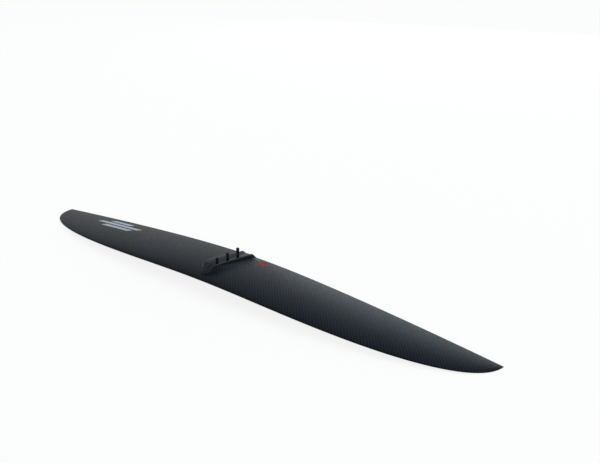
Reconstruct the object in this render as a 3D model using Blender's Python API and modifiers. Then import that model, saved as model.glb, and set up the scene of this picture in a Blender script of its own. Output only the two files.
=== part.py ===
"""Hydrofoil front wing: two carbon half shells over a foam core, a fuselage cradle and three mounting screws.

Metres, +Z up. The origin is on the cradle's flat seat, on the centre line, midway between the front and
middle screws. +X runs along the span to port, +Y runs aft along the chord and +Z points to the board.
"""

import math

import bmesh
import bpy

# Wing outline
SPAN = 1.040
ROOT_CHORD = 0.1337
TIP_CHORD = 0.006
OUTLINE_POWER = 2.535
OUTLINE_ROOT = 2.203
TIP_SWEEP = 0.0162
TIP_DROOP = 0.0269
DROOP_BLEND = 0.168

# Wing section at the root, and how thin it gets at the tip for its chord
ROOT_THICKNESS = 0.0160
TIP_THICKNESS_SHARE = 0.08
ROOT_CAMBER = 0.0029
REAR_EDGE = 0.0010

# Half shells, and the pocket moulded in them for the core
SKIN = 0.0016
NOSE_SOLID = 0.0077
REAR_SOLID = 0.0267
POCKET_DRAFT = 0.0016
CORE_LEAST = 0.0010

# Spar and root block
SPAR_WIDTH = 0.0100
SPAR_CAP = 0.0010
BLOCK_HALF = 0.030

# Screws: countersunk, hexagon socket, driven from below
SCREW_DIAMETER = 0.006
SCREW_LENGTH = 0.030
SCREW_PITCH = 0.025
SCREW_CHAMFER = 0.0007
HEAD_DIAMETER = 0.012
HEAD_SINK = 0.0010
SOCKET_FLATS = 0.004
SOCKET_DEPTH = 0.0022
SCREW_SETBACK = 0.0451

# Cup washers and compression sleeves
WASHER_WALL = 0.0009
WASHER_LAND = 0.0005
SLEEVE_DIAMETER = 0.009

# Cradle: a trough with a flat seat, a pointed prow and a sloped tail
SEAT_HEIGHT = 0.008
CHANNEL_WIDTH = 0.021
RIM_LAND = 0.0015
RIM_FRONT = 0.0122
RIM_REAR = 0.0030
FLOOR = 0.0025
STOP_AHEAD = 0.0155
STOP_WALL = 0.0025
PLUG_WALL = 0.0014
PLUG_REAR = 0.008
PROW_BEHIND_EDGE = 0.0100
PROW_EDGE = 0.0068
PROW_RIDGE = 0.0014
STEM_WIDTH = 0.004
TAIL_AHEAD = 0.0044
TAIL_SLOPE = 0.0113
FAIRING = 0.0065
FEATHER = 0.0004

# Clearances and mesh density
BOND = 0.0003
CUT_OVERRUN = 0.010
WELD = 1e-6
HALF_SPAN_STEPS = 15
CHORD_STEPS = 15
CHORD_CROWDING = 1.8
STATION_LEAST = 0.004
FILLET_STEPS = 4
ROUND_STEPS = 24
SMOOTH_ANGLE = math.radians(35)

# Places worked out from the sizes above
SCREW_Y = {
    "front": -SCREW_PITCH / 2,
    "middle": SCREW_PITCH / 2,
    "rear": 1.5 * SCREW_PITCH,
}
NOSE_Y = SCREW_Y["front"] - SCREW_SETBACK
REAR_Y = NOSE_Y + ROOT_CHORD
END_STATION = (1 - (TIP_CHORD / ROOT_CHORD) ** OUTLINE_ROOT) ** (1 / OUTLINE_POWER)
HALF_SPAN = SPAN / 2 / END_STATION
BLEND_STATION = DROOP_BLEND / HALF_SPAN
ROOT_THICKNESS_SHARE = ROOT_THICKNESS / ROOT_CHORD
CAMBER_SHARE = ROOT_CAMBER / ROOT_CHORD
STOP_Y = SCREW_Y["front"] - STOP_AHEAD
PLUG_FRONT_Y = STOP_Y - STOP_WALL
PLUG_REAR_Y = SCREW_Y["rear"] + PLUG_REAR
PLUG_HALF = CHANNEL_WIDTH / 2 + PLUG_WALL
RIM_HALF = CHANNEL_WIDTH / 2 + RIM_LAND
PROW_Y = NOSE_Y + PROW_BEHIND_EDGE
TAIL_Y = REAR_Y - TAIL_AHEAD
RIM_END_Y = TAIL_Y - TAIL_SLOPE
SPAR_REAR = (PLUG_FRONT_Y - POCKET_DRAFT - NOSE_Y) / ROOT_CHORD
SPAR_FRONT = SPAR_REAR - SPAR_WIDTH / ROOT_CHORD
POCKET_FRONT = NOSE_SOLID / ROOT_CHORD
POCKET_REAR = 1 - REAR_SOLID / ROOT_CHORD


# Wing surface: a station is a share of the half span, a share runs from leading to trailing edge
def chord(station):
    taper = 1 - min(abs(station), END_STATION) ** OUTLINE_POWER
    return ROOT_CHORD * taper ** (1 / OUTLINE_ROOT)


def rear_edge(station):
    return REAR_Y - TIP_SWEEP * station**2


def droop(station):
    soft = math.hypot(station, BLEND_STATION) - BLEND_STATION
    return TIP_DROOP * soft / (math.hypot(1, BLEND_STATION) - BLEND_STATION)


def middle(station, share):
    arch = 4 * CAMBER_SHARE * share * (1 - share) * chord(station)
    return arch - droop(station) - SEAT_HEIGHT


def half_thickness(station, share):
    ratio = ROOT_THICKNESS_SHARE + (TIP_THICKNESS_SHARE - ROOT_THICKNESS_SHARE) * abs(station)
    curve = 0.2969 * math.sqrt(share) - 0.1260 * share - 0.3516 * share**2
    curve += 0.2843 * share**3 - 0.1036 * share**4
    return 5 * ratio * chord(station) * curve + REAR_EDGE / 2 * share


def upper(station, share):
    return max(middle(station, share) + half_thickness(station, share), middle(station, share) + BOND / 2)


def lower(station, share):
    return min(middle(station, share) - half_thickness(station, share), middle(station, share) - BOND / 2)


def place(station, share, height):
    length = chord(station)
    return (station * HALF_SPAN, rear_edge(station) - (1 - share) * length, height)


def share_at(station, y):
    return 1 - (rear_edge(station) - y) / chord(station)


def upper_at(x, y):
    return upper(x / HALF_SPAN, share_at(x / HALF_SPAN, y))


def lower_at(x, y):
    return lower(x / HALF_SPAN, share_at(x / HALF_SPAN, y))


def core_room(station):
    """Height left for the core at the rear of its pocket."""
    shell = upper(station, POCKET_REAR) - lower(station, POCKET_REAR)
    return shell - 2 * (SKIN + BOND)


def pocket_station():
    """The station at which the core has thinned to its least height."""
    inside, outside = 0.0, END_STATION
    while outside - inside > WELD:
        trial = (inside + outside) / 2
        if core_room(trial) > CORE_LEAST:
            inside = trial
        else:
            outside = trial
    return inside


POCKET_END = pocket_station()
PIECE_END = POCKET_END - BOND / HALF_SPAN


# Stations shared by every lofted piece, so that their facets lie along one another
def merged(base, breaks, least):
    kept = [value for value in base if all(abs(value - edge) > least for edge in breaks)]
    return sorted(kept + list(breaks))


def span_stations(start, end):
    half = [END_STATION * math.sin(math.pi / 2 * step / HALF_SPAN_STEPS) for step in range(HALF_SPAN_STEPS + 1)]
    wall = POCKET_END + POCKET_DRAFT / HALF_SPAN
    half = merged(half, [POCKET_END, wall], POCKET_DRAFT / HALF_SPAN)
    both = [-value for value in reversed(half[1:])] + half
    gap = STATION_LEAST / HALF_SPAN
    return [start] + [value for value in both if start + gap < value < end - gap] + [end]


def chord_shares():
    base = [(step / CHORD_STEPS) ** CHORD_CROWDING for step in range(CHORD_STEPS + 1)]
    draft = POCKET_DRAFT / ROOT_CHORD
    breaks = [POCKET_FRONT - draft, POCKET_FRONT, SPAR_FRONT, SPAR_REAR, POCKET_REAR, POCKET_REAR + draft]
    return merged(base, breaks, draft)


def shares_between(front, rear):
    gap = 3 * BOND / ROOT_CHORD
    return [front] + [share for share in chord_shares() if front + gap < share < rear - gap] + [rear]


# Mesh and object helpers
def new_collection(name):
    collection = bpy.data.collections.new(name)
    bpy.context.scene.collection.children.link(collection)
    return collection


def new_material(name, colour, roughness, metallic):
    material = bpy.data.materials.new(name)
    material.use_nodes = True
    shader = material.node_tree.nodes["Principled BSDF"]
    shader.inputs["Base Color"].default_value = (*colour, 1.0)
    shader.inputs["Roughness"].default_value = roughness
    shader.inputs["Metallic"].default_value = metallic
    material.diffuse_color = (*colour, 1.0)
    return material


def add_object(name, mesh, collection, finish):
    piece = bpy.data.objects.new(name, mesh)
    collection.objects.link(piece)
    if finish:
        mesh.materials.append(new_material(name, *finish))
    return piece


def lofted(name, rings, finish):
    """A closed solid through rings of equal point counts, with flat ends."""
    shape = bmesh.new()
    loops = [[shape.verts.new(point) for point in ring] for ring in rings]
    count = len(loops[0])
    for near, far in zip(loops, loops[1:]):
        for step in range(count):
            follow = (step + 1) % count
            shape.faces.new((near[step], near[follow], far[follow], far[step]))
    shape.faces.new(list(reversed(loops[0])))
    shape.faces.new(loops[-1])
    bmesh.ops.remove_doubles(shape, verts=shape.verts[:], dist=WELD)
    bmesh.ops.recalc_face_normals(shape, faces=shape.faces[:])
    if shape.calc_volume(signed=True) < 0:
        bmesh.ops.reverse_faces(shape, faces=shape.faces[:])
    mesh = bpy.data.meshes.new(name)
    shape.to_mesh(mesh)
    shape.free()
    mesh.shade_smooth()
    mesh.set_sharp_from_angle(angle=SMOOTH_ANGLE)
    return add_object(name, mesh, parts, finish)


def slab(name, stations, shares_of, low, high, finish):
    """A lofted piece between two height functions, over a range of stations and chord shares."""
    rings = []
    for station in stations:
        shares = shares_of(station)
        ring = [place(station, share, low(station, share)) for share in shares]
        ring += [place(station, share, high(station, share)) for share in reversed(shares)]
        rings.append(ring)
    return lofted(name, rings, finish)


def turned(name, profile, location, collection, finish, closed):
    """A profile of (radius, height) points turned about Z at the location."""
    mesh = bpy.data.meshes.new(name)
    edges = [(step, step + 1) for step in range(len(profile) - 1)]
    if closed:
        edges.append((len(profile) - 1, 0))
    mesh.from_pydata([(radius, 0, height) for radius, height in profile], edges, [])
    piece = add_object(name, mesh, collection, finish)
    piece.location = location
    piece.rotation_euler.z = math.pi / ROUND_STEPS
    turn = piece.modifiers.new("Turn", "SCREW")
    turn.axis = "Z"
    turn.steps = ROUND_STEPS
    turn.render_steps = ROUND_STEPS
    turn.use_merge_vertices = True
    turn.merge_threshold = WELD * 10
    turn.use_smooth_shade = True
    return piece


def prism(name, sides, radius, bottom, top, location):
    """An upright cutter with a regular outline."""
    shape = bmesh.new()
    bmesh.ops.create_cone(
        shape, cap_ends=True, segments=sides, radius1=radius, radius2=radius, depth=top - bottom
    )
    bmesh.ops.translate(shape, verts=shape.verts[:], vec=(0, 0, (top + bottom) / 2))
    mesh = bpy.data.meshes.new(name)
    shape.to_mesh(mesh)
    shape.free()
    piece = add_object(name, mesh, cutters, None)
    piece.location = location
    return piece


def box(name, low, high):
    """A cutter between two corners."""
    shape = bmesh.new()
    bmesh.ops.create_cube(shape, size=1.0)
    size = [b - a for a, b in zip(low, high)]
    centre = [(a + b) / 2 for a, b in zip(low, high)]
    bmesh.ops.scale(shape, verts=shape.verts[:], vec=size)
    bmesh.ops.translate(shape, verts=shape.verts[:], vec=centre)
    mesh = bpy.data.meshes.new(name)
    shape.to_mesh(mesh)
    shape.free()
    return add_object(name, mesh, cutters, None)


def cut(piece, cutter, solver="EXACT"):
    """Takes the cutter out of the piece."""
    step = piece.modifiers.new(cutter.name, "BOOLEAN")
    step.operation = "DIFFERENCE"
    step.solver = solver
    step.object = cutter


# Half shells, cut with the solver for closed meshes because their edges taper to slivers
def in_pocket(station, share):
    reach = abs(station) <= POCKET_END + WELD
    return reach and POCKET_FRONT - WELD <= share <= POCKET_REAR + WELD


def upper_inner(station, share):
    joint = middle(station, share) + BOND / 2
    if in_pocket(station, share):
        return max(upper(station, share) - SKIN, joint)
    return joint


def lower_inner(station, share):
    joint = middle(station, share) - BOND / 2
    if in_pocket(station, share):
        return min(lower(station, share) + SKIN, joint)
    return joint


def make_shells(window, holes):
    stations = span_stations(-END_STATION, END_STATION)
    shares = chord_shares()
    top = slab("upper_skin", stations, lambda station: shares, upper_inner, upper, SATIN_CARBON)
    cut(top, window, "MANIFOLD")
    bottom = slab("lower_skin", stations, lambda station: shares, lower, lower_inner, SATIN_CARBON)
    for hole in holes:
        cut(bottom, hole, "MANIFOLD")


# Pieces sealed between the shells
def core_low(station, share):
    return lower(station, share) + SKIN + BOND


def core_high(station, share):
    return upper(station, share) - SKIN - BOND


def core_shares(front, rear):
    """Chord shares that keep the bond gap inside both bounds at every station."""

    def at(station):
        gap = BOND / chord(station)
        inner = shares_between(front, rear)[1:-1]
        return [front + gap] + inner + [rear - gap]

    return at


def make_cores():
    block_end = BLOCK_HALF / HALF_SPAN
    gap = BOND / HALF_SPAN
    nose = core_shares(POCKET_FRONT, SPAR_FRONT)
    body = core_shares(SPAR_REAR, POCKET_REAR)
    for side, sign in (("port", 1), ("starboard", -1)):
        ends = sorted((sign * gap / 2, sign * PIECE_END))
        slab(f"{side}_nose_core", span_stations(*ends), nose, core_low, core_high, FOAM)
        ends = sorted((sign * (block_end + gap), sign * PIECE_END))
        slab(f"{side}_core", span_stations(*ends), body, core_low, core_high, FOAM)


def make_spar():
    stations = span_stations(-PIECE_END, PIECE_END)

    def shares(station):
        return shares_between(SPAR_FRONT, SPAR_REAR)

    def lower_cap_top(station, share):
        return core_low(station, share) + SPAR_CAP

    def upper_cap_base(station, share):
        return core_high(station, share) - SPAR_CAP

    def web_low(station, share):
        return lower_cap_top(station, share) + BOND

    def web_high(station, share):
        return upper_cap_base(station, share) - BOND

    slab("lower_spar_cap", stations, shares, core_low, lower_cap_top, STRAIGHT_CARBON)
    slab("upper_spar_cap", stations, shares, upper_cap_base, core_high, STRAIGHT_CARBON)
    slab("spar_web", stations, shares, web_low, web_high, LAMINATE)


def make_root_block(plug_space, holes):
    end = BLOCK_HALF / HALF_SPAN
    body = core_shares(SPAR_REAR, POCKET_REAR)
    block = slab("root_block", span_stations(-end, end), body, core_low, core_high, LAMINATE)
    cut(block, plug_space)
    for hole in holes:
        cut(block, hole)


# Cradle
def rim_half_width(y):
    reach = min((y - PROW_Y) / (STOP_Y - PROW_Y), 1.0)
    return STEM_WIDTH / 2 + (RIM_HALF - STEM_WIDTH / 2) * (1.3 * reach - 0.3 * reach**2)


def rim_height(y):
    prow_top = upper_at(0, PROW_Y) + BOND + PROW_EDGE
    tail_top = upper_at(0, TAIL_Y) + BOND + 2 * FEATHER
    if y <= STOP_Y:
        return prow_top + (RIM_FRONT - prow_top) * (y - PROW_Y) / (STOP_Y - PROW_Y)
    if y <= RIM_END_Y:
        return RIM_FRONT + (RIM_REAR - RIM_FRONT) * (y - STOP_Y) / (RIM_END_Y - STOP_Y)
    return RIM_REAR + (tail_top - RIM_REAR) * (y - RIM_END_Y) / TAIL_SLOPE


def fairing_width(y):
    reach = min((y - PROW_Y) / (STOP_Y - PROW_Y), 1.0)
    return FAIRING * (0.3 + 0.7 * reach)


def cradle_ring(y, in_plug):
    """One cross section: flat underside, plug, feathered foot, hollow fillet, rim and ridge."""
    rim = rim_half_width(y)
    foot = rim + fairing_width(y)
    key = min(PLUG_HALF, 0.9 * rim)
    seat_of = upper_at(foot, y) + BOND
    under = upper_at(0, y) + BOND
    base = min(-FLOOR, under) if in_plug else under
    top = rim_height(y)
    sill = seat_of + FEATHER
    ridge = max(min(PROW_RIDGE, (top - sill) / 2), 0)
    side = [(foot, seat_of), (foot, sill)]
    for step in range(1, FILLET_STEPS + 1):
        angle = math.pi / 2 * step / FILLET_STEPS
        out = rim + (foot - rim) * (1 - math.sin(angle))
        side.append((out, sill + (top - sill) * (1 - math.cos(angle))))
    port = [(key, base), (key, under)] + side
    starboard = [(-out, height) for out, height in reversed(port)]
    outline = port + [(0, top + ridge)] + starboard
    return [(out, y, height) for out, height in outline]


def cradle_rings():
    rings = []
    for y in (PROW_Y, (2 * PROW_Y + STOP_Y) / 3, (PROW_Y + 2 * STOP_Y) / 3, PLUG_FRONT_Y - BOND):
        rings.append(cradle_ring(y, False))
    steps = 5
    for step in range(steps + 1):
        y = PLUG_FRONT_Y + (PLUG_REAR_Y - PLUG_FRONT_Y) * step / steps
        rings.append(cradle_ring(y, True))
        if step == 0:
            rings.append(cradle_ring(STOP_Y, True))
    for y in (PLUG_REAR_Y + BOND, RIM_END_Y, (RIM_END_Y + TAIL_Y) / 2, TAIL_Y):
        rings.append(cradle_ring(y, False))
    return rings


def make_cradle(holes):
    cradle = lofted("fuselage_cradle", cradle_rings(), SATIN_CARBON)
    half = CHANNEL_WIDTH / 2
    top = RIM_FRONT + CUT_OVERRUN
    channel = box("channel_space", (-half, STOP_Y, 0), (half, TAIL_Y + CUT_OVERRUN, top))
    cut(cradle, channel)
    for hole in holes:
        cut(cradle, hole)


# Screws, washers and sleeves
SCREW_RADIUS = SCREW_DIAMETER / 2
HEAD_RADIUS = HEAD_DIAMETER / 2
BORE_RADIUS = SCREW_RADIUS + BOND
SLEEVE_RADIUS = SLEEVE_DIAMETER / 2
CONE_GAP = BOND * math.sqrt(2)
CUP_RADIUS = HEAD_RADIUS + CONE_GAP
WASHER_RADIUS = CUP_RADIUS + WASHER_WALL * math.sqrt(2)
WASHER_HEIGHT = CUP_RADIUS - BORE_RADIUS + WASHER_LAND


def head_height(place_name):
    return lower_at(0, SCREW_Y[place_name]) + HEAD_SINK


def hole_cutter(place_name):
    """The space that a washer and a sleeve take, open below and above."""
    base = head_height(place_name)
    space = SLEEVE_RADIUS + BOND
    mouth = WASHER_RADIUS + CONE_GAP
    profile = [
        (0, CUT_OVERRUN - base),
        (space, CUT_OVERRUN - base),
        (space, mouth - space),
        (mouth, 0),
        (mouth, -CUT_OVERRUN),
        (0, -CUT_OVERRUN),
    ]
    location = (0, SCREW_Y[place_name], base)
    return turned(f"hole_{place_name}", profile, location, cutters, None, False)


def make_screw(place_name):
    location = (0, SCREW_Y[place_name], head_height(place_name))
    profile = [
        (0, SCREW_LENGTH),
        (SCREW_RADIUS - SCREW_CHAMFER, SCREW_LENGTH),
        (SCREW_RADIUS, SCREW_LENGTH - SCREW_CHAMFER),
        (SCREW_RADIUS, HEAD_RADIUS - SCREW_RADIUS),
        (HEAD_RADIUS, 0),
        (0, 0),
    ]
    screw = turned(f"screw_{place_name}", profile, location, parts, BLACK_STEEL, False)
    corner = SOCKET_FLATS / math.sqrt(3)
    cut(screw, prism(f"socket_{place_name}", 6, corner, -CUT_OVERRUN, SOCKET_DEPTH, location))


def make_washer(place_name):
    location = (0, SCREW_Y[place_name], head_height(place_name))
    profile = [
        (BORE_RADIUS, WASHER_HEIGHT),
        (WASHER_RADIUS - WASHER_HEIGHT, WASHER_HEIGHT),
        (WASHER_RADIUS, 0),
        (CUP_RADIUS, 0),
        (BORE_RADIUS, CUP_RADIUS - BORE_RADIUS),
    ]
    turned(f"washer_{place_name}", profile, location, parts, STEEL, True)


def make_sleeve(place_name):
    bottom = head_height(place_name) + WASHER_HEIGHT + BOND
    profile = [
        (BORE_RADIUS, 0),
        (SLEEVE_RADIUS, 0),
        (SLEEVE_RADIUS, bottom),
        (BORE_RADIUS, bottom),
    ]
    turned(f"sleeve_{place_name}", profile, (0, SCREW_Y[place_name], 0), parts, STEEL, True)


# Finishes: colour, roughness, metallic
SATIN_CARBON = ((0.045, 0.050, 0.056), 0.42, 0.0)
STRAIGHT_CARBON = ((0.020, 0.021, 0.023), 0.50, 0.0)
LAMINATE = ((0.110, 0.120, 0.095), 0.60, 0.0)
FOAM = ((0.780, 0.720, 0.560), 0.90, 0.0)
BLACK_STEEL = ((0.015, 0.015, 0.016), 0.38, 0.6)
STEEL = ((0.560, 0.560, 0.570), 0.32, 1.0)

for old in list(bpy.data.objects):
    bpy.data.objects.remove(old, do_unlink=True)
parts = new_collection("hydrofoil_front_wing")
cutters = new_collection("cutters")

space_low = (-PLUG_HALF - BOND, PLUG_FRONT_Y - 2 * BOND, -FLOOR - BOND)
space_high = (PLUG_HALF + BOND, PLUG_REAR_Y + 2 * BOND, CUT_OVERRUN)
plug_space = box("plug_space", space_low, space_high)
skin_window = box("skin_window", (*space_low[:2], -SEAT_HEIGHT), space_high)
screw_holes = [hole_cutter(place_name) for place_name in SCREW_Y]

make_shells(skin_window, screw_holes)
make_cores()
make_spar()
make_root_block(plug_space, screw_holes)
make_cradle(screw_holes)
for place_name in SCREW_Y:
    make_sleeve(place_name)
    make_washer(place_name)
    make_screw(place_name)

for cutter in cutters.objects:
    cutter.hide_render = True
    cutter.display_type = "WIRE"
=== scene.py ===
"""Looks of the hydrofoil front wing: twill carbon shells and cradle, screws, seams and markings.

Metres, +Z up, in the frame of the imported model: the origin is on the cradle's seat, +X port, +Y aft.
"""

import math

import bmesh
import bpy
from mathutils import Matrix, Vector


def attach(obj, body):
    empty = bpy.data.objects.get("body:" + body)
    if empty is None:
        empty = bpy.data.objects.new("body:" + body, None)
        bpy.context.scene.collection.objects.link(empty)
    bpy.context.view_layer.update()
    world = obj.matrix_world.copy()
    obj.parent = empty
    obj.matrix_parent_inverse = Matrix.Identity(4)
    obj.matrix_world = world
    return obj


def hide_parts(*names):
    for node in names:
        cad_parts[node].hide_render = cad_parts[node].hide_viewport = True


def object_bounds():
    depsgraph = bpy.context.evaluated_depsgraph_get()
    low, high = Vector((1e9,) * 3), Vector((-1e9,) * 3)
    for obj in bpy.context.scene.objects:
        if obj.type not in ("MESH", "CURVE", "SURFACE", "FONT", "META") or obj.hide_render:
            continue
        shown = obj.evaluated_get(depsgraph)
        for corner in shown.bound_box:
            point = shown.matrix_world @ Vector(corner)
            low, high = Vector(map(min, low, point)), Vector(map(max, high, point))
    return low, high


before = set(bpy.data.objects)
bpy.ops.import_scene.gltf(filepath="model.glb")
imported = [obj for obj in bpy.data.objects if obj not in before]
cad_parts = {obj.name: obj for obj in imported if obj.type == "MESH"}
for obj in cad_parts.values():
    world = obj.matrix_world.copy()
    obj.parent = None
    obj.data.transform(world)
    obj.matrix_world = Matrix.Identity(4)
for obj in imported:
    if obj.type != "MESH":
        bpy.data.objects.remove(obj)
cad_low, cad_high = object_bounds()

# Wing outline and section
SPAN = 1.040
ROOT_CHORD = 0.1337
TIP_CHORD = 0.006
OUTLINE_POWER = 2.535
OUTLINE_ROOT = 2.203
TIP_SWEEP = 0.0162
TIP_DROOP = 0.0269
DROOP_BLEND = 0.168
ROOT_THICKNESS = 0.0160
TIP_THICKNESS_SHARE = 0.08
ROOT_CAMBER = 0.0029
REAR_EDGE = 0.0010
SECTION_SCALE = 5
SECTION_ROOT = 0.2969
SECTION_FACTORS = (-0.1260, -0.3516, 0.2843, -0.1036)

# Half shells and the pocket for the core
SKIN = 0.0016
NOSE_SOLID = 0.0077
REAR_SOLID = 0.0267
POCKET_DRAFT = 0.0016
POCKET_END = 0.7236

# Screws, cup washers and sleeves
SCREW_DIAMETER = 0.006
SCREW_LENGTH = 0.030
SCREW_PITCH = 0.025
SCREW_CHAMFER = 0.0007
SCREW_SETBACK = 0.0451
HEAD_DIAMETER = 0.012
HEAD_SINK = 0.0010
SOCKET_FLATS = 0.004
SOCKET_DEPTH = 0.0022
THREAD_PITCH = 0.0010
THREAD_DEPTH = 0.00030
THREAD_RUN_OUT = 0.0015
THREAD_FLANK = 1.6
SOCKET_CENTRE = 0.2
WASHER_WALL = 0.0009
WASHER_LAND = 0.0005
SLEEVE_DIAMETER = 0.009
EDGE_ROUND = 0.00015

# Cradle
SEAT_HEIGHT = 0.008
CHANNEL_WIDTH = 0.021
RIM_LAND = 0.0015
RIM_FRONT = 0.0122
RIM_REAR = 0.0049
RIM_SOFTENING = 0.0025
RIM_BULGE = 0.3
FLOOR = 0.0025
STOP_AHEAD = 0.0155
STOP_WALL = 0.0025
PLUG_WALL = 0.0014
PLUG_REAR = 0.008
KEY_SHARE = 0.9
PROW_BEHIND_EDGE = 0.0100
PROW_EDGE = 0.0068
PROW_RIDGE = 0.0005
STEM_WIDTH = 0.004
TAIL_AHEAD = 0.0044
TAIL_SLOPE = 0.0093
FAIRING_FRONT = 0.030
FAIRING_REAR = 0.022
FAIRING_REACH = 0.060
FAIRING_LEAST = 0.1
FAIRING_POWER = 1.5
WALL_FRONT = 0.0025
WALL_REAR = 0.0052
WALL_SHARE = 0.6
LEVEL_NORMAL = 0.5
FEATHER = 0.0004
HIGHLIGHT_WIDTH = 0.0010
HIGHLIGHT_HEIGHT = 0.0012
HIGHLIGHT_DROP = 0.0008

# Clearances and mesh density
BOND = 0.0003
WELD = 1e-6
LEAST_SHELL = 0.00002
CUT_OVERRUN = 0.010
SPAN_STEPS = 150
CHORD_STEPS = 44
SWELL_STEPS = 10
ROUND_STEPS = 48
THREAD_STEPS = 10
SEAM_STEPS = 4
SOFTENING_STEPS = 8
PROW_STEPS = 12
PLUG_STEPS = 30
TAIL_STEPS = 16
HIGHLIGHT_SIDES = 8
HIGHLIGHT_STEPS = 60
RIDGE_STEPS = 14
BAR_STEPS = 24
BAR_ROWS = 4
SMOOTH_ANGLE = math.radians(35)

# Camera, fitted to the photograph of 600 by 463 pixels
IMAGE_WIDTH = 600
IMAGE_HEIGHT = 463
CAMERA_AZIMUTH = math.radians(41.504)
CAMERA_ELEVATION = math.radians(20.6816)
CAMERA_DISTANCE = 1.6509
FOCAL_PIXELS = 954.15
AIM_SHARE = 0.4
AIM_PIXEL = (221.02, 269.84)
SENSOR = 36.0
NEAR_CLIP = 0.01

# Places worked out from the sizes above
SCREW_Y = {
    "front": -SCREW_PITCH / 2,
    "middle": SCREW_PITCH / 2,
    "rear": 1.5 * SCREW_PITCH,
}
NOSE_Y = SCREW_Y["front"] - SCREW_SETBACK
REAR_Y = NOSE_Y + ROOT_CHORD
END_STATION = (1 - (TIP_CHORD / ROOT_CHORD) ** OUTLINE_ROOT) ** (1 / OUTLINE_POWER)
HALF_SPAN = SPAN / 2 / END_STATION
BLEND_STATION = DROOP_BLEND / HALF_SPAN
ROOT_THICKNESS_SHARE = ROOT_THICKNESS / ROOT_CHORD
CAMBER_SHARE = ROOT_CAMBER / ROOT_CHORD
POCKET_FRONT = NOSE_SOLID / ROOT_CHORD
POCKET_REAR = 1 - REAR_SOLID / ROOT_CHORD
DRAFT_SHARE = POCKET_DRAFT / ROOT_CHORD
STOP_Y = SCREW_Y["front"] - STOP_AHEAD
PLUG_FRONT_Y = STOP_Y - STOP_WALL
PLUG_REAR_Y = SCREW_Y["rear"] + PLUG_REAR
PLUG_HALF = CHANNEL_WIDTH / 2 + PLUG_WALL
RIM_HALF = CHANNEL_WIDTH / 2 + RIM_LAND
PROW_Y = NOSE_Y + PROW_BEHIND_EDGE
TAIL_Y = REAR_Y - TAIL_AHEAD
RIM_END_Y = TAIL_Y - TAIL_SLOPE
SCREW_RADIUS = SCREW_DIAMETER / 2
HEAD_RADIUS = HEAD_DIAMETER / 2
BORE_RADIUS = SCREW_RADIUS + BOND
SLEEVE_RADIUS = SLEEVE_DIAMETER / 2
CONE_GAP = BOND * math.sqrt(2)
CUP_RADIUS = HEAD_RADIUS + CONE_GAP
WASHER_RADIUS = CUP_RADIUS + WASHER_WALL * math.sqrt(2)
WASHER_HEIGHT = CUP_RADIUS - BORE_RADIUS + WASHER_LAND


# Wing surface: a station is a share of the half span, a share runs from leading to trailing edge
def chord(station):
    taper = 1 - min(abs(station), END_STATION) ** OUTLINE_POWER
    return ROOT_CHORD * taper ** (1 / OUTLINE_ROOT)


def rear_edge(station):
    return REAR_Y - TIP_SWEEP * station**2


def droop(station):
    soft = math.hypot(station, BLEND_STATION) - BLEND_STATION
    return TIP_DROOP * soft / (math.hypot(1, BLEND_STATION) - BLEND_STATION)


def middle(station, share):
    arch = 4 * CAMBER_SHARE * share * (1 - share) * chord(station)
    return arch - droop(station) - SEAT_HEIGHT


def half_thickness(station, share):
    ratio = ROOT_THICKNESS_SHARE + (TIP_THICKNESS_SHARE - ROOT_THICKNESS_SHARE) * abs(station)
    curve = SECTION_ROOT * math.sqrt(share)
    for power, factor in enumerate(SECTION_FACTORS, start=1):
        curve += factor * share**power
    return max(SECTION_SCALE * ratio * chord(station) * curve + REAR_EDGE / 2 * share, BOND / 2)


def upper(station, share):
    return middle(station, share) + half_thickness(station, share)


def lower(station, share):
    return middle(station, share) - half_thickness(station, share)


def place(station, share, height):
    return (station * HALF_SPAN, rear_edge(station) - (1 - share) * chord(station), height)


def share_at(station, y):
    return min(max(1 - (rear_edge(station) - y) / chord(station), 0.0), 1.0)


def upper_at(x, y):
    return upper(x / HALF_SPAN, share_at(x / HALF_SPAN, y))


def lower_at(x, y):
    return lower(x / HALF_SPAN, share_at(x / HALF_SPAN, y))


def merged(base, breaks, least):
    kept = [value for value in base if all(abs(value - edge) > least for edge in breaks)]
    return sorted(kept + list(breaks))


def spaced(start, end, count):
    return [start + (end - start) * step / count for step in range(count + 1)]


def span_stations():
    """Stations crowded towards both tips."""
    turns = [math.pi * (step / SPAN_STEPS - 0.5) for step in range(SPAN_STEPS + 1)]
    wall = POCKET_END + POCKET_DRAFT / HALF_SPAN
    breaks = [-wall, -POCKET_END, POCKET_END, wall]
    return merged([END_STATION * math.sin(turn) for turn in turns], breaks, POCKET_DRAFT / HALF_SPAN)


def chord_shares():
    """Chord shares crowded towards both edges, with the pocket's bounds among them."""
    base = [(1 - math.cos(math.pi * step / CHORD_STEPS)) / 2 for step in range(CHORD_STEPS + 1)]
    breaks = [POCKET_FRONT - DRAFT_SHARE, POCKET_FRONT, POCKET_REAR, POCKET_REAR + DRAFT_SHARE]
    return merged(base, breaks, DRAFT_SHARE / 2)


# Mesh helpers
def add_piece(name, mesh, material):
    piece = bpy.data.objects.new(name, mesh)
    bpy.context.scene.collection.objects.link(piece)
    if material:
        mesh.materials.append(material)
    return piece


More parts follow.
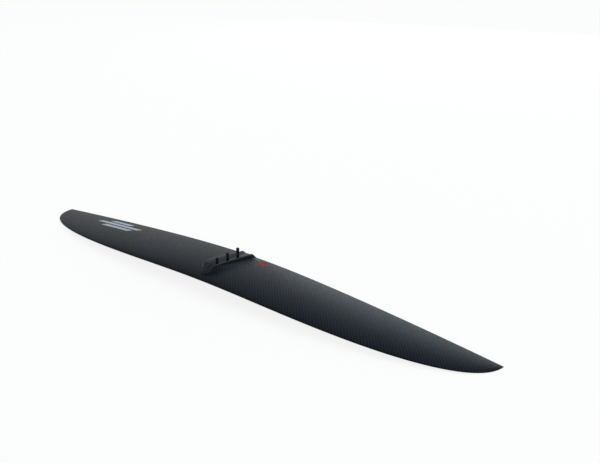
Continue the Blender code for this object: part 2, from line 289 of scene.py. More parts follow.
def lofted(name, rings, material):
    """A closed solid through rings of equal point counts, with flat ends."""
    shape = bmesh.new()
    loops = [[shape.verts.new(point) for point in ring] for ring in rings]
    count = len(loops[0])
    for near, far in zip(loops, loops[1:]):
        for step in range(count):
            follow = (step + 1) % count
            shape.faces.new((near[step], near[follow], far[follow], far[step]))
    shape.faces.new(list(reversed(loops[0])))
    shape.faces.new(loops[-1])
    bmesh.ops.remove_doubles(shape, verts=shape.verts[:], dist=WELD)
    bmesh.ops.recalc_face_normals(shape, faces=shape.faces[:])
    if shape.calc_volume(signed=True) < 0:
        bmesh.ops.reverse_faces(shape, faces=shape.faces[:])
    mesh = bpy.data.meshes.new(name)
    shape.to_mesh(mesh)
    shape.free()
    mesh.shade_smooth()
    mesh.set_sharp_from_angle(angle=SMOOTH_ANGLE)
    return add_piece(name, mesh, material)


def slab(name, stations, shares_of, low, high, material):
    """A lofted piece between two height functions, over a range of stations and chord shares."""
    rings = []
    for station in stations:
        shares = shares_of(station)
        ring = [place(station, share, low(station, share)) for share in shares]
        ring += [place(station, share, high(station, share)) for share in reversed(shares)]
        rings.append(ring)
    return lofted(name, rings, material)


def box_cutter(low, high):
    shape = bmesh.new()
    bmesh.ops.create_cube(shape, size=1.0)
    bmesh.ops.scale(shape, verts=shape.verts[:], vec=[b - a for a, b in zip(low, high)])
    bmesh.ops.translate(shape, verts=shape.verts[:], vec=[(a + b) / 2 for a, b in zip(low, high)])
    mesh = bpy.data.meshes.new("cutter")
    shape.to_mesh(mesh)
    shape.free()
    return add_piece("cutter", mesh, None)


def cut_out(piece, cutters):
    """Takes closed cutters out of a closed piece for good."""
    for cutter in cutters:
        step = piece.modifiers.new("cut", "BOOLEAN")
        step.operation = "DIFFERENCE"
        step.solver = "MANIFOLD"
        step.object = cutter
    material = piece.data.materials[0]
    bake(piece)
    piece.data.materials.clear()
    piece.data.materials.append(material)
    piece.data.polygons.foreach_set("material_index", [0] * len(piece.data.polygons))


def bake(piece):
    """Makes the piece's modifiers part of its mesh."""
    graph = bpy.context.evaluated_depsgraph_get()
    mesh = bpy.data.meshes.new_from_object(piece.evaluated_get(graph))
    piece.modifiers.clear()
    piece.data = mesh
    mesh.shade_smooth()
    mesh.set_sharp_from_angle(angle=SMOOTH_ANGLE)


def ring_of(radius_at, height_at, y):
    """Points round the Z axis at y, with radius and height as functions of the angle."""
    points = []
    for step in range(ROUND_STEPS):
        angle = 2 * math.pi * step / ROUND_STEPS
        radius = radius_at(angle)
        points.append((radius * math.cos(angle), y + radius * math.sin(angle), height_at(angle)))
    return points


def round_ring(radius, height, y):
    return ring_of(lambda angle: radius, lambda angle: height, y)


def rounded(profile, amount):
    """A profile of (radius, height) corners with each corner cut back by a small amount."""
    result = []
    for index, corner in enumerate(profile):
        here = Vector(corner)
        for other in (profile[index - 1], profile[(index + 1) % len(profile)]):
            way = Vector(other) - here
            result.append(tuple(here + way.normalized() * min(amount, way.length / 3)))
    return result


def turned_ring(name, profile, y, material):
    """A closed ring-shaped solid from a closed profile of (radius, height) corners."""
    corners = rounded(profile, EDGE_ROUND)
    shape = bmesh.new()
    loops = [[shape.verts.new(point) for point in round_ring(*corner, y)] for corner in corners]
    for index, near in enumerate(loops):
        far = loops[(index + 1) % len(loops)]
        for step in range(ROUND_STEPS):
            follow = (step + 1) % ROUND_STEPS
            shape.faces.new((near[step], near[follow], far[follow], far[step]))
    bmesh.ops.recalc_face_normals(shape, faces=shape.faces[:])
    mesh = bpy.data.meshes.new(name)
    shape.to_mesh(mesh)
    shape.free()
    mesh.shade_smooth()
    mesh.set_sharp_from_angle(angle=SMOOTH_ANGLE)
    return add_piece(name, mesh, material)


# Node helpers
def new_material(name):
    material = bpy.data.materials.new(name)
    material.use_nodes = True
    return material, material.node_tree, material.node_tree.nodes["Principled BSDF"]


def feed(tree, socket, value):
    """Links a socket to an output, or sets a plain value on it."""
    if isinstance(value, bpy.types.NodeSocket):
        tree.links.new(value, socket)
    else:
        socket.default_value = value


def maths(tree, operation, *values):
    node = tree.nodes.new("ShaderNodeMath")
    node.operation = operation
    for socket, value in zip(node.inputs, values):
        feed(tree, socket, value)
    return node.outputs[0]


def blended(tree, share, first, second):
    """A colour between two, by a share from 0 to 1."""
    node = tree.nodes.new("ShaderNodeMix")
    node.data_type = "RGBA"
    feed(tree, node.inputs["Factor"], share)
    for socket, value in ((node.inputs[6], first), (node.inputs[7], second)):
        feed(tree, socket, (*value, 1.0) if isinstance(value, tuple) else value)
    return node.outputs[2]


def remapped(tree, value, low, high, to_low, to_high):
    node = tree.nodes.new("ShaderNodeMapRange")
    for socket, number in zip(node.inputs, (value, low, high, to_low, to_high)):
        feed(tree, socket, number)
    return node.outputs[0]


def vector_of(tree, *parts):
    node = tree.nodes.new("ShaderNodeCombineXYZ")
    for socket, value in zip(node.inputs, parts):
        feed(tree, socket, value)
    return node.outputs[0]


def noise(tree, vector, scale, detail=2.0):
    node = tree.nodes.new("ShaderNodeTexNoise")
    feed(tree, node.inputs["Vector"], vector)
    feed(tree, node.inputs["Scale"], scale)
    feed(tree, node.inputs["Detail"], detail)
    return node.outputs["Fac"]


def object_axes(tree):
    where = tree.nodes.new("ShaderNodeTexCoord").outputs["Object"]
    axes = tree.nodes.new("ShaderNodeSeparateXYZ")
    tree.links.new(where, axes.inputs[0])
    return where, axes.outputs[0], axes.outputs[1], axes.outputs[2]


def bumped(tree, shader, height, distance, strength=1.0):
    node = tree.nodes.new("ShaderNodeBump")
    feed(tree, node.inputs["Height"], height)
    node.inputs["Distance"].default_value = distance
    node.inputs["Strength"].default_value = strength
    tree.links.new(node.outputs[0], shader.inputs["Normal"])


# Colours as dark and light tones, with ranges of roughness and levels of gloss
SKIN_DARK = (0.0028, 0.0047, 0.0074)
# the skin's light tone: painted sheen on the warp tows, which are the same fibre as the weft
SKIN_WARP_SHEEN = (0.0095, 0.0163, 0.0258)
# the cradle's tones: the skin's cloth made lighter as painted light on the cradle's steep walls
CRADLE_PAINTED_LIGHT_DARK = (0.0052, 0.0078, 0.0112)
CRADLE_PAINTED_LIGHT_SHEEN = (0.0210, 0.0290, 0.0400)
# near-black tone towards both wing edges: painted shade on the rounded edges
EDGE_PAINTED_SHADE = (0.0030, 0.0033, 0.0038)
EDGE_SHADE_BAND = 0.0022
SKIN_GLOSS = 0.054
CRADLE_GLOSS = 0.10
CLOTH_ROUGH = (0.385, 0.445)
BLACK_TONES = ((0.004, 0.004, 0.0045), (0.008, 0.008, 0.0085))
BLACK_ROUGH = (0.45, 0.58)
STEEL_TONES = ((0.46, 0.46, 0.47), (0.62, 0.62, 0.63))
STEEL_ROUGH = (0.25, 0.38)
RESIN_TONES = ((0.006, 0.006, 0.007), (0.012, 0.012, 0.013))
RESIN_ROUGH = (0.35, 0.50)
# copper-brown painted highlight along the rims and the prow's ridge
RIM_HIGHLIGHT_TONES = ((0.050, 0.038, 0.031), (0.070, 0.052, 0.042))
# pale grey inside the channel: painted light where the trough lies in shade
CHANNEL_PAINTED_LIGHT_TONES = ((0.100, 0.112, 0.130), (0.116, 0.130, 0.150))
MATT_ROUGH = (0.45, 0.60)
PALE_TONES = ((0.28, 0.33, 0.39), (0.33, 0.38, 0.44))
PALE_ROUGH = (0.38, 0.48)
RED_TONES = ((0.50, 0.006, 0.006), (0.58, 0.010, 0.009))
RED_ROUGH = (0.36, 0.46)
STRAIGHT_TONES = ((0.012, 0.013, 0.014), (0.032, 0.034, 0.037))
STRAIGHT_ROUGH = (0.40, 0.55)
LAMINATE_TONES = ((0.070, 0.078, 0.060), (0.160, 0.170, 0.135))
LAMINATE_ROUGH = (0.50, 0.70)
FOAM_TONES = ((0.82, 0.76, 0.60), (0.62, 0.55, 0.40))
FOAM_ROUGH = (0.80, 0.95)
MATT_GLOSS = 0.1
PAINT_GLOSS = 0.3
METAL_GLOSS = 0.5

# Weave, grain and bump sizes; noise scales are in features per metre
TOW = 0.00161
TWILL_REPEAT = 4.0
WARP_BELOW = 1.5
WEFT_START = 2.0
FIBRE_SCALE = 9000.0
FIBRE_STRETCH = 0.02
PATCH_SCALE = 22.0
CLOTH_SCALE = 160.0
# how light the warp tows are drawn, from their sides to their crowns: painted sheen
WARP_SHEEN = (0.45, 0.85)
FIBRE_TONE = 0.12
PATCH_TONE = 0.06
WEAVE_BUMP = 0.00006
WEAVE_STRENGTH = 0.5
STREAK_SCALE = 4000.0
STREAK_STRETCH = 0.01
STREAK_BUMP = 0.00004
PLY = 0.0005
PLY_TONE = 0.25
PLY_GRAIN_SCALE = 700.0
PLY_BUMP = 0.00005
CELL_SCALE = 1600.0
CELL_SPAN = (0.0, 0.8)
CELL_BUMP = 0.0002
DRAWN_SCALE = 1500.0
DRAWN_SQUEEZE = 6.0
MOTTLE_SCALE = 300.0
FINE_BUMP = 0.00002
NOISE_SPAN = (0.3, 0.7)


# Materials
def spread(tree, value, low, high):
    """Noise, which stays near its middle, spread over a range."""
    return remapped(tree, value, *NOISE_SPAN, low, high)


def tinted(tree, shader, tone, tones):
    tree.links.new(blended(tree, tone, *tones), shader.inputs["Base Color"])


def twill_carbon(name, wrapped, dark, sheen_tone, gloss):
    """Satin two-by-two twill; wrapped cloth follows steep walls down from the middle. The warp tows are
    drawn lighter as painted sheen, and the wing's edges darker as painted shade.
    """
    material, tree, shader = new_material(name)
    where, x, y, z = object_axes(tree)
    across = x
    if wrapped:
        across = maths(tree, "SUBTRACT", x, maths(tree, "MULTIPLY", z, maths(tree, "SIGN", x)))
    u = maths(tree, "DIVIDE", across, TOW)
    v = maths(tree, "DIVIDE", y, TOW)
    u_part = maths(tree, "FRACT", u)
    v_part = maths(tree, "FRACT", v)
    count = maths(tree, "ADD", maths(tree, "FLOOR", u), maths(tree, "FLOOR", v))
    phase = maths(tree, "FLOORED_MODULO", count, TWILL_REPEAT)
    is_warp = maths(tree, "LESS_THAN", phase, WARP_BELOW)
    is_weft = maths(tree, "SUBTRACT", 1.0, is_warp)

    def picked(warp, weft):
        first = maths(tree, "MULTIPLY", warp, is_warp)
        return maths(tree, "ADD", first, maths(tree, "MULTIPLY", weft, is_weft))

    def crown(part):
        rest = maths(tree, "SUBTRACT", 1.0, part)
        return maths(tree, "MULTIPLY", maths(tree, "MULTIPLY", part, rest), 4.0)

    rounding = picked(crown(u_part), crown(v_part))
    along_warp = maths(tree, "MULTIPLY", maths(tree, "ADD", phase, v_part), 0.5)
    weft_phase = maths(tree, "SUBTRACT", phase, WEFT_START)
    along_weft = maths(tree, "MULTIPLY", maths(tree, "ADD", weft_phase, u_part), 0.5)
    arching = picked(crown(along_warp), crown(along_weft))
    fibre_x = picked(across, maths(tree, "MULTIPLY", across, FIBRE_STRETCH))
    fibre_y = picked(maths(tree, "MULTIPLY", y, FIBRE_STRETCH), y)
    fibres = noise(tree, vector_of(tree, fibre_x, fibre_y, 0.0), FIBRE_SCALE, 1.0)
    patches = noise(tree, where, PATCH_SCALE, 3.0)

    height = maths(tree, "MULTIPLY", maths(tree, "ADD", rounding, arching), 0.5)
    bumped(tree, shader, height, WEAVE_BUMP, WEAVE_STRENGTH)

    # painted sheen: warp tows lighter towards their crowns; the fibre streaks and patches are the cloth's
    # own tone
    light = maths(tree, "MULTIPLY", is_warp, remapped(tree, rounding, 0.0, 1.0, *WARP_SHEEN))
    light = maths(tree, "ADD", light, spread(tree, fibres, -FIBRE_TONE, FIBRE_TONE))
    light = maths(tree, "ADD", light, spread(tree, patches, -PATCH_TONE, PATCH_TONE))
    light = remapped(tree, light, 0.0, 1.0, 0.0, 1.0)
    cloth = blended(tree, light, dark, sheen_tone)
    # painted shade: darker towards the leading and trailing edges
    edge = tree.nodes.new("ShaderNodeAttribute")
    edge.attribute_name = "edge"
    tinted(tree, shader, edge.outputs["Fac"], (cloth, EDGE_PAINTED_SHADE))
    rough = spread(tree, noise(tree, where, CLOTH_SCALE, 3.0), *CLOTH_ROUGH)
    tree.links.new(rough, shader.inputs["Roughness"])
    shader.inputs["Specular IOR Level"].default_value = gloss
    return material


def straight_carbon():
    material, tree, shader = new_material("straight_carbon")
    where, x, y, z = object_axes(tree)
    along = maths(tree, "MULTIPLY", x, STREAK_STRETCH)
    streak = noise(tree, vector_of(tree, along, y, z), STREAK_SCALE, 2.0)
    tinted(tree, shader, spread(tree, streak, 0.0, 1.0), STRAIGHT_TONES)
    tree.links.new(spread(tree, streak, *STRAIGHT_ROUGH), shader.inputs["Roughness"])
    bumped(tree, shader, streak, STREAK_BUMP)
    return material


def laminate():
    material, tree, shader = new_material("laminate")
    where, x, y, z = object_axes(tree)
    plies = maths(tree, "SINE", maths(tree, "MULTIPLY", z, 2 * math.pi / PLY))
    grain = noise(tree, where, PLY_GRAIN_SCALE, 3.0)
    tone = maths(tree, "MULTIPLY_ADD", plies, PLY_TONE, grain)
    tinted(tree, shader, tone, LAMINATE_TONES)
    tree.links.new(spread(tree, grain, *LAMINATE_ROUGH), shader.inputs["Roughness"])
    bumped(tree, shader, tone, PLY_BUMP)
    return material


def foam():
    material, tree, shader = new_material("foam")
    where, x, y, z = object_axes(tree)
    cells = tree.nodes.new("ShaderNodeTexVoronoi")
    tree.links.new(where, cells.inputs["Vector"])
    cells.inputs["Scale"].default_value = CELL_SCALE
    depth = cells.outputs["Distance"]
    tinted(tree, shader, remapped(tree, depth, *CELL_SPAN, 0.0, 1.0), FOAM_TONES)
    rough = remapped(tree, depth, *CELL_SPAN, *FOAM_ROUGH)
    tree.links.new(rough, shader.inputs["Roughness"])
    bumped(tree, shader, depth, CELL_BUMP)
    return material


def steel(name, tones, roughness, metallic, gloss):
    """Metal with a fine drawn grain round the screw axis."""
    material, tree, shader = new_material(name)
    where, x, y, z = object_axes(tree)
    rings = maths(tree, "MULTIPLY", z, DRAWN_SQUEEZE)
    grain = noise(tree, vector_of(tree, x, y, rings), DRAWN_SCALE, 3.0)
    tinted(tree, shader, spread(tree, grain, 0.0, 1.0), tones)
    tree.links.new(spread(tree, grain, *roughness), shader.inputs["Roughness"])
    shader.inputs["Metallic"].default_value = metallic
    shader.inputs["Specular IOR Level"].default_value = gloss
    bumped(tree, shader, grain, FINE_BUMP)
    return material


def plain_finish(name, tones, roughness, gloss):
    """Paint or resin with a slight mottle; also the painted light inside the channel and the painted
    highlights on the rims.
    """
    material, tree, shader = new_material(name)
    where, x, y, z = object_axes(tree)
    mottle = noise(tree, where, MOTTLE_SCALE, 4.0)
    tinted(tree, shader, spread(tree, mottle, 0.0, 1.0), tones)
    tree.links.new(spread(tree, mottle, *roughness), shader.inputs["Roughness"])
    shader.inputs["Specular IOR Level"].default_value = gloss
    bumped(tree, shader, mottle, FINE_BUMP)
    return material


# Shells
def in_pocket(station, share):
    return abs(station) <= POCKET_END + WELD and POCKET_FRONT - WELD <= share <= POCKET_REAR + WELD


def upper_inner(station, share):
    joint = min(middle(station, share) + BOND / 2, upper(station, share) - LEAST_SHELL)
    return max(upper(station, share) - SKIN, joint) if in_pocket(station, share) else joint


def lower_inner(station, share):
    joint = max(middle(station, share) - BOND / 2, lower(station, share) + LEAST_SHELL)
    return min(lower(station, share) + SKIN, joint) if in_pocket(station, share) else joint


def mark_edge_shade(piece):
    """Stores how close each point lies to the leading or trailing edge, for the painted shade along both
    edges.
    """
    values = []
    for vertex in piece.data.vertices:
        station = vertex.co.x / HALF_SPAN
        share = share_at(station, vertex.co.y)
        inset = min(share, 1 - share) * chord(station)
        values.append(max(0.0, 1 - inset / EDGE_SHADE_BAND))
    piece.data.attributes.new("edge", "FLOAT", "POINT").data.foreach_set("value", values)


def make_shells(material):
    stations = span_stations()
    shares = chord_shares()
    top = slab("upper_shell", stations, lambda station: shares, upper_inner, upper, material)
    half = PLUG_HALF + BOND
    window_low = (-half, PLUG_FRONT_Y - 2 * BOND, -SEAT_HEIGHT)
    window_high = (half, PLUG_REAR_Y + 2 * BOND, CUT_OVERRUN)
    window = box_cutter(window_low, window_high)
    cut_out(top, [window])
    bottom = slab("lower_shell", stations, lambda station: shares, lower, lower_inner, material)
    holes = [hole_cutter(place_name) for place_name in SCREW_Y]
    cut_out(bottom, holes)
    for cutter in [window] + holes:
        bpy.data.objects.remove(cutter, do_unlink=True)
    for piece, node in ((top, "upper_skin"), (bottom, "lower_skin")):
        mark_edge_shade(piece)
        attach(piece, "wing")
        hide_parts(node)


def make_seams(material):
    """Dark resin between the shells along both edges."""

    def seam(name, shares):
        def low(station, share):
            return middle(station, share) - BOND / 2 + LEAST_SHELL + WELD

        def high(station, share):
            return middle(station, share) + BOND / 2 - LEAST_SHELL - WELD

        piece = slab(name, span_stations(), lambda station: shares, low, high, material)
        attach(piece, "wing")

    seam("nose_seam", spaced(0, POCKET_FRONT - 2 * DRAFT_SHARE, SEAM_STEPS))
    seam("rear_seam", spaced(POCKET_REAR + 2 * DRAFT_SHARE, 1, SEAM_STEPS))


# Cradle
def rim_half_width(y):
    reach = min((y - PROW_Y) / (STOP_Y - PROW_Y), 1.0)
    opening = (1 + RIM_BULGE) * reach - RIM_BULGE * reach**2
    return STEM_WIDTH / 2 + (RIM_HALF - STEM_WIDTH / 2) * opening


def rim_line(y):
    prow_top = upper_at(0, PROW_Y) + BOND + PROW_EDGE
    tail_top = upper_at(0, TAIL_Y) + BOND + 2 * FEATHER
    if y <= STOP_Y:
        return prow_top + (RIM_FRONT - prow_top) * (y - PROW_Y) / (STOP_Y - PROW_Y)
    if y <= RIM_END_Y:
        return RIM_FRONT + (RIM_REAR - RIM_FRONT) * (y - STOP_Y) / (RIM_END_Y - STOP_Y)
    return RIM_REAR + (tail_top - RIM_REAR) * (y - RIM_END_Y) / TAIL_SLOPE


def rim_height(y):
    """The rim's straight runs with their corners softened."""
    reach = min(RIM_SOFTENING, y - PROW_Y, TAIL_Y - y)
    samples = [rim_line(near) for near in spaced(y - reach, y + reach, SOFTENING_STEPS)]
    return sum(samples) / len(samples)


def along_channel(y, front, rear):
    """A size that changes evenly from the stop to the end of the rim."""
    run = min(max((y - STOP_Y) / (RIM_END_Y - STOP_Y), 0.0), 1.0)
    return front + (rear - front) * run


def fairing_width(y):
    """How far the skin's swell runs out from the rim, growing smoothly from the prow."""
    reach = min((y - PROW_Y) / FAIRING_REACH, 1.0)
    grown = FAIRING_LEAST + (1 - FAIRING_LEAST) * reach**2 * (3 - 2 * reach)
    return along_channel(y, FAIRING_FRONT, FAIRING_REAR) * grown


def cradle_ring(y, in_plug):
    """One cross section: flat underside, plug, feathered swell, upright wall, rim and ridge."""
    rim = rim_half_width(y)
    foot = rim + fairing_width(y)
    key = min(PLUG_HALF, KEY_SHARE * rim)
    seat_of = upper_at(foot, y) - FEATHER
    under = upper_at(0, y) + BOND
    base = min(-FLOOR, under) if in_plug else under
    top = rim_height(y)
    sill = seat_of + FEATHER
    ridge = max(min(PROW_RIDGE, (top - sill) / 2), 0)
    wall = min(along_channel(y, WALL_FRONT, WALL_REAR), WALL_SHARE * max(top - sill, 0))
    side = [(foot, seat_of), (foot, sill)]
    for step in range(1, SWELL_STEPS + 1):
        climb = step / SWELL_STEPS
        out = rim + (foot - rim) * (1 - climb)
        side.append((out, sill + (top - wall - sill) * climb**FAIRING_POWER))
    side.append((rim - WELD, top))
    port = [(key, base), (key, under)] + side
    starboard = [(-out, height) for out, height in reversed(port)]
    outline = port + [(0, top + ridge)] + starboard
    return [(out, y, height) for out, height in outline]


def make_cradle(material, channel_light, cloth):
    """The cradle: the cloth made lighter on its steep walls as painted light, a pale grey inside the
    channel as painted light, and the skin's own cloth on the swell and prow.
    """
    rings = [cradle_ring(y, False) for y in spaced(PROW_Y, PLUG_FRONT_Y - BOND, PROW_STEPS)]
    rings += [cradle_ring(y, True) for y in spaced(PLUG_FRONT_Y, PLUG_REAR_Y, PLUG_STEPS)]
    rings += [cradle_ring(y, False) for y in spaced(PLUG_REAR_Y + BOND, TAIL_Y, TAIL_STEPS)]
    cradle = lofted("cradle_shell", rings, material)
    half = CHANNEL_WIDTH / 2
    channel = box_cutter((-half, STOP_Y, 0), (half, TAIL_Y + CUT_OVERRUN, RIM_FRONT + CUT_OVERRUN))
    holes = [hole_cutter(place_name) for place_name in SCREW_Y]
    cut_out(cradle, [channel] + holes)
    cradle.data.materials.append(channel_light)
    cradle.data.materials.append(cloth)
    for face in cradle.data.polygons:
        x, y, z = face.center
        # faces inside the channel take the pale grey that is painted light
        inside = abs(x) < half + WELD and y > STOP_Y - WELD and z > -WELD
        # steep faces take the lighter cloth that is painted light, level faces the skin's own cloth
        level = 2 if face.normal.z > LEVEL_NORMAL else 0
        face.material_index = 1 if inside else level
    for cutter in [channel] + holes:
        bpy.data.objects.remove(cutter, do_unlink=True)
    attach(cradle, "wing")
    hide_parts("fuselage_cradle")


def make_rim_highlights(material):
    """Thin copper-brown lines along the rims and the prow's ridge, as painted highlights on the edges."""

    def highlight_line(name, path):
        rings = []
        for x, y, z in path:
            ring = []
            for step in range(HIGHLIGHT_SIDES):
                angle = 2 * math.pi * step / HIGHLIGHT_SIDES
                out = HIGHLIGHT_WIDTH / 2 * math.cos(angle)
                rise = HIGHLIGHT_HEIGHT / 2 * math.sin(angle)
                ring.append((x + out, y, z + rise))
            rings.append(ring)
        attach(lofted(name, rings, material), "wing")

    rim = spaced(PROW_Y, TAIL_Y - FEATHER, HIGHLIGHT_STEPS)
    highlight_line("rim_line_port", [(rim_half_width(y), y, rim_height(y) - HIGHLIGHT_DROP) for y in rim])
    highlight_line("rim_line_starboard", [(-rim_half_width(y), y, rim_height(y) - HIGHLIGHT_DROP) for y in rim])
    prow = spaced(PROW_Y, STOP_Y, RIDGE_STEPS)
    highlight_line("prow_line", [(0, y, rim_height(y) + PROW_RIDGE) for y in prow])


# Screws, washers and sleeves
def head_height(place_name):
    return lower_at(0, SCREW_Y[place_name]) + HEAD_SINK


def hole_cutter(place_name):
    """The space that a washer and a sleeve take, open below and above."""
    base = head_height(place_name)
    y = SCREW_Y[place_name]
    space = SLEEVE_RADIUS + BOND
    mouth = WASHER_RADIUS + CONE_GAP
    profile = [
        (mouth, base - CUT_OVERRUN),
        (mouth, base),
        (space, base + mouth - space),
        (space, CUT_OVERRUN),
    ]
    return lofted("cutter", [round_ring(radius, height, y) for radius, height in profile], None)


def thread_radius(angle, height, base):
    """Radius on a right-hand thread that runs out below the tip and above the head."""
    turn = (height / THREAD_PITCH - angle / (2 * math.pi)) % 1.0
    groove = THREAD_DEPTH * min(1.0, THREAD_FLANK * (1 - abs(2 * turn - 1)))
    room = min(height - base - (HEAD_RADIUS - SCREW_RADIUS), base + SCREW_LENGTH - height)
    return SCREW_RADIUS - groove * min(max(room / THREAD_RUN_OUT, 0.0), 1.0)


def socket_radius(angle):
    side = (angle + math.pi / 6) % (math.pi / 3) - math.pi / 6
    return SOCKET_FLATS / 2 / math.cos(side)


def make_screw(place_name, material):
    y = SCREW_Y[place_name]
    base = head_height(place_name)
    top = base + SCREW_LENGTH
    neck = base + HEAD_RADIUS - SCREW_RADIUS
    rings = [
        ring_of(lambda angle: socket_radius(angle) * SOCKET_CENTRE, lambda angle: base + SOCKET_DEPTH, y),
        ring_of(socket_radius, lambda angle: base + SOCKET_DEPTH - EDGE_ROUND, y),
        ring_of(socket_radius, lambda angle: base + EDGE_ROUND, y),
        ring_of(lambda angle: socket_radius(angle) + EDGE_ROUND, lambda angle: base, y),
        round_ring(HEAD_RADIUS - 2 * EDGE_ROUND, base, y),
        round_ring(HEAD_RADIUS - EDGE_ROUND / 2, base + EDGE_ROUND / 2, y),
        round_ring(SCREW_RADIUS, neck, y),
    ]
    turns = int((SCREW_LENGTH - SCREW_CHAMFER - neck + base) / THREAD_PITCH * THREAD_STEPS)
    for height in spaced(neck, top - SCREW_CHAMFER, turns)[1:]:
        rings.append(ring_of(lambda angle: thread_radius(angle, height, base), lambda angle: height, y))
    rings.append(round_ring(SCREW_RADIUS - SCREW_CHAMFER, top, y))
    screw = lofted(f"machine_screw_{place_name}", rings, material)
    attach(screw, f"screw_{place_name}")
    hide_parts(f"screw_{place_name}")


def make_washer(place_name, material):
    base = head_height(place_name)
    profile = [
        (BORE_RADIUS, base + WASHER_HEIGHT),
        (WASHER_RADIUS - WASHER_HEIGHT, base + WASHER_HEIGHT),
        (WASHER_RADIUS, base),
        (CUP_RADIUS, base),
        (BORE_RADIUS, base + CUP_RADIUS - BORE_RADIUS),
    ]
    washer = turned_ring(f"cup_washer_{place_name}", profile, SCREW_Y[place_name], material)
    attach(washer, f"washer_{place_name}")
    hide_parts(f"washer_{place_name}")


def make_sleeve(place_name, material):
    bottom = head_height(place_name) + WASHER_HEIGHT + BOND
    profile = [(BORE_RADIUS, 0), (SLEEVE_RADIUS, 0), (SLEEVE_RADIUS, bottom), (BORE_RADIUS, bottom)]
    sleeve = turned_ring(f"screw_sleeve_{place_name}", profile, SCREW_Y[place_name], material)
    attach(sleeve, "wing")
    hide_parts(f"sleeve_{place_name}")


# Markings: plain painted bars on the upper skin
PAINT_LOW = 0.00002
PAINT_HIGH = 0.00008
PALE_BAR_WIDTH = 0.009
PALE_BAR_SLANT = 0.8
PALE_BAR_X = {"front": -0.318, "middle": -0.326, "rear": -0.334}
PALE_BAR_Y = {"front": 0.020, "middle": 0.034, "rear": 0.048}
PALE_BAR_LENGTH = {"front": 0.080, "middle": 0.120, "rear": 0.060}
RED_BAR_PLACE = (0.0465, 0.0500)
RED_BAR_LENGTH = 0.020
RED_BAR_WIDTH = 0.006


def painted_bar(name, middle_point, length, width, slant, material):
    """A thin slanted bar that follows the upper skin, long way along the span."""
    rings = []
    for along in spaced(-length / 2, length / 2, BAR_STEPS):
        points = []
        for across in spaced(-width / 2, width / 2, BAR_ROWS):
            x = middle_point[0] + along + slant * across
            y = middle_point[1] + across
            points.append((x, y, upper_at(x, y)))
        ring = [(x, y, z + PAINT_LOW) for x, y, z in points]
        ring += [(x, y, z + PAINT_HIGH) for x, y, z in reversed(points)]
        rings.append(ring)
    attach(lofted(name, rings, material), "wing")


def make_markings(pale, red):
    for row, length in PALE_BAR_LENGTH.items():
        middle_point = (PALE_BAR_X[row], PALE_BAR_Y[row])
        painted_bar(f"pale_bar_{row}", middle_point, length, PALE_BAR_WIDTH, PALE_BAR_SLANT, pale)
    painted_bar("red_bar", RED_BAR_PLACE, RED_BAR_LENGTH, RED_BAR_WIDTH, 0.0, red)


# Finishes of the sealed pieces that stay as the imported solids
def dress(node, material):
    piece = bpy.data.objects[node]
    piece.data.materials.clear()
    piece.data.materials.append(material)


# Stage, light and camera
FLOOR_SIZE = 12.0
FLOOR_COLOUR = (0.96, 0.96, 0.96)
FLOOR_ROUGH = 0.9
SHADOW_SHARE = 0.15
WORLD_TINT = (0.95, 0.97, 1.0)
WORLD_POWER = 0.9
SKY_PLACE = (0.9, 1.2, 2.2)
SKY_SIZE = (2.66, 2.66)
SKY_POWER = 4.4
SKY_TINT = (1.0, 0.98, 0.96)
BOX_PLACE = (-1.045, 2.777, 0.449)
BOX_SIZE = (1.64, 0.58)
BOX_POWER = 9.3
BOX_TINT = (0.856, 1.0, 1.122)


def in_sight(tree):
    """One for the rays that show the background: from the camera, off gloss and through glass."""
    path = tree.nodes.new("ShaderNodeLightPath")
    seen = maths(tree, "MAXIMUM", path.outputs["Is Camera Ray"], path.outputs["Is Glossy Ray"])
    return maths(tree, "MAXIMUM", seen, path.outputs["Is Transmission Ray"])


def mixed(tree, share, first, second):
    node = tree.nodes.new("ShaderNodeMixShader")
    tree.links.new(share, node.inputs[0])
    tree.links.new(first.outputs[0], node.inputs[1])
    tree.links.new(second.outputs[0], node.inputs[2])
    return node


def make_floor():
    shape = bmesh.new()
    bmesh.ops.create_grid(shape, x_segments=1, y_segments=1, size=FLOOR_SIZE / 2)
    mesh = bpy.data.meshes.new("floor")
    shape.to_mesh(mesh)
    shape.free()
    material, tree, shader = new_material("floor")
    shader.inputs["Base Color"].default_value = (*FLOOR_COLOUR, 1.0)
    shader.inputs["Roughness"].default_value = FLOOR_ROUGH
    shader.inputs["Specular IOR Level"].default_value = 0.0
    white = maths(tree, "MULTIPLY", in_sight(tree), 1 - SHADOW_SHARE)
    surface = mixed(tree, white, shader, tree.nodes.new("ShaderNodeEmission"))
    tree.links.new(surface.outputs[0], tree.nodes["Material Output"].inputs["Surface"])
    floor = add_piece("floor", mesh, material)
    floor.location.z = cad_low[2]


def make_world():
    """Even light on the object, and white for every ray that shows the background."""
    world = bpy.data.worlds.new("studio")
    bpy.context.scene.world = world
    world.use_nodes = True
    tree = world.node_tree
    light = tree.nodes["Background"]
    light.inputs["Color"].default_value = (*WORLD_TINT, 1.0)
    light.inputs["Strength"].default_value = WORLD_POWER
    white = tree.nodes.new("ShaderNodeBackground")
    white.inputs["Color"].default_value = (1.0, 1.0, 1.0, 1.0)
    surround = mixed(tree, in_sight(tree), light, white)
    tree.links.new(surround.outputs[0], tree.nodes["World Output"].inputs["Surface"])


def make_lamp(name, place_of, size, power, tint):
    """A soft box of a width and a height that faces the origin."""
    data = bpy.data.lights.new(name, "AREA")
    data.shape = "RECTANGLE"
    data.size, data.size_y = size
    data.energy = power
    data.color = tint
    lamp = bpy.data.objects.new(name, data)
    bpy.context.scene.collection.objects.link(lamp)
    lamp.location = place_of
    lamp.rotation_euler = Vector(place_of).to_track_quat("Z", "Y").to_euler()


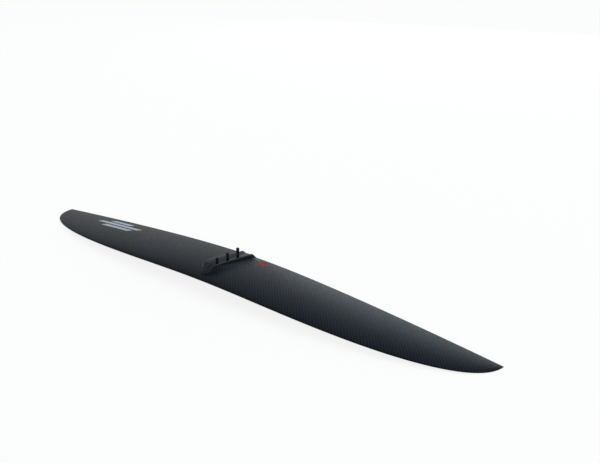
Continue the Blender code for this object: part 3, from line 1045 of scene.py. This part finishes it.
def make_camera():
    sin_a = math.sin(CAMERA_AZIMUTH)
    cos_a = math.cos(CAMERA_AZIMUTH)
    level = math.cos(CAMERA_ELEVATION)
    back = Vector((sin_a * level, -cos_a * level, math.sin(CAMERA_ELEVATION)))
    right = Vector((cos_a, sin_a, 0))
    up = back.cross(right)
    aim = Vector((0, NOSE_Y + AIM_SHARE * ROOT_CHORD, -SEAT_HEIGHT))
    metres = CAMERA_DISTANCE / FOCAL_PIXELS
    aim_right = (AIM_PIXEL[0] - IMAGE_WIDTH / 2) * metres
    aim_up = (IMAGE_HEIGHT / 2 - AIM_PIXEL[1]) * metres
    data = bpy.data.cameras.new("camera")
    data.sensor_width = SENSOR
    data.lens = FOCAL_PIXELS / IMAGE_WIDTH * SENSOR
    data.clip_start = NEAR_CLIP
    camera = bpy.data.objects.new("camera", data)
    bpy.context.scene.collection.objects.link(camera)
    centre = aim - right * aim_right - up * aim_up + back * CAMERA_DISTANCE
    turn = Matrix((right, up, back)).transposed().to_4x4()
    camera.matrix_world = Matrix.Translation(centre) @ turn
    bpy.context.scene.camera = camera


# Build
bpy.context.scene.view_settings.view_transform = "Standard"

skin_cloth = twill_carbon("twill_carbon", False, SKIN_DARK, SKIN_WARP_SHEEN, SKIN_GLOSS)
# the cradle's cloth, made lighter as painted light
cradle_painted_light_cloth = twill_carbon("twill_carbon_wrapped_painted_light", True, CRADLE_PAINTED_LIGHT_DARK, CRADLE_PAINTED_LIGHT_SHEEN, CRADLE_GLOSS)
black_steel = steel("black_steel", BLACK_TONES, BLACK_ROUGH, 0.0, MATT_GLOSS)
stainless = steel("stainless", STEEL_TONES, STEEL_ROUGH, 1.0, METAL_GLOSS)
resin = plain_finish("seam_resin", RESIN_TONES, RESIN_ROUGH, PAINT_GLOSS)
# copper-brown lines as painted highlights
copper_painted_highlight = plain_finish("copper_painted_highlight", RIM_HIGHLIGHT_TONES, MATT_ROUGH, MATT_GLOSS)
# pale grey for the channel as painted light
channel_painted_light = plain_finish("channel_painted_light", CHANNEL_PAINTED_LIGHT_TONES, MATT_ROUGH, MATT_GLOSS)
pale_paint = plain_finish("pale_paint", PALE_TONES, PALE_ROUGH, PAINT_GLOSS)
red_paint = plain_finish("red_paint", RED_TONES, RED_ROUGH, 0.0)

make_shells(skin_cloth)
make_seams(resin)
make_cradle(cradle_painted_light_cloth, channel_painted_light, skin_cloth)
make_rim_highlights(copper_painted_highlight)
for place_name in SCREW_Y:
    make_screw(place_name, black_steel)
    make_washer(place_name, stainless)
    make_sleeve(place_name, stainless)
make_markings(pale_paint, red_paint)

foam_finish = foam()
carbon_finish = straight_carbon()
laminate_finish = laminate()
for node in ("port_nose_core", "starboard_nose_core", "port_core", "starboard_core"):
    dress(node, foam_finish)
for node in ("upper_spar_cap", "lower_spar_cap"):
    dress(node, carbon_finish)
for node in ("spar_web", "root_block"):
    dress(node, laminate_finish)

make_floor()
make_world()
make_lamp("overhead_lamp", SKY_PLACE, SKY_SIZE, SKY_POWER, SKY_TINT)
make_lamp("rear_lamp", BOX_PLACE, BOX_SIZE, BOX_POWER, BOX_TINT)
make_camera()
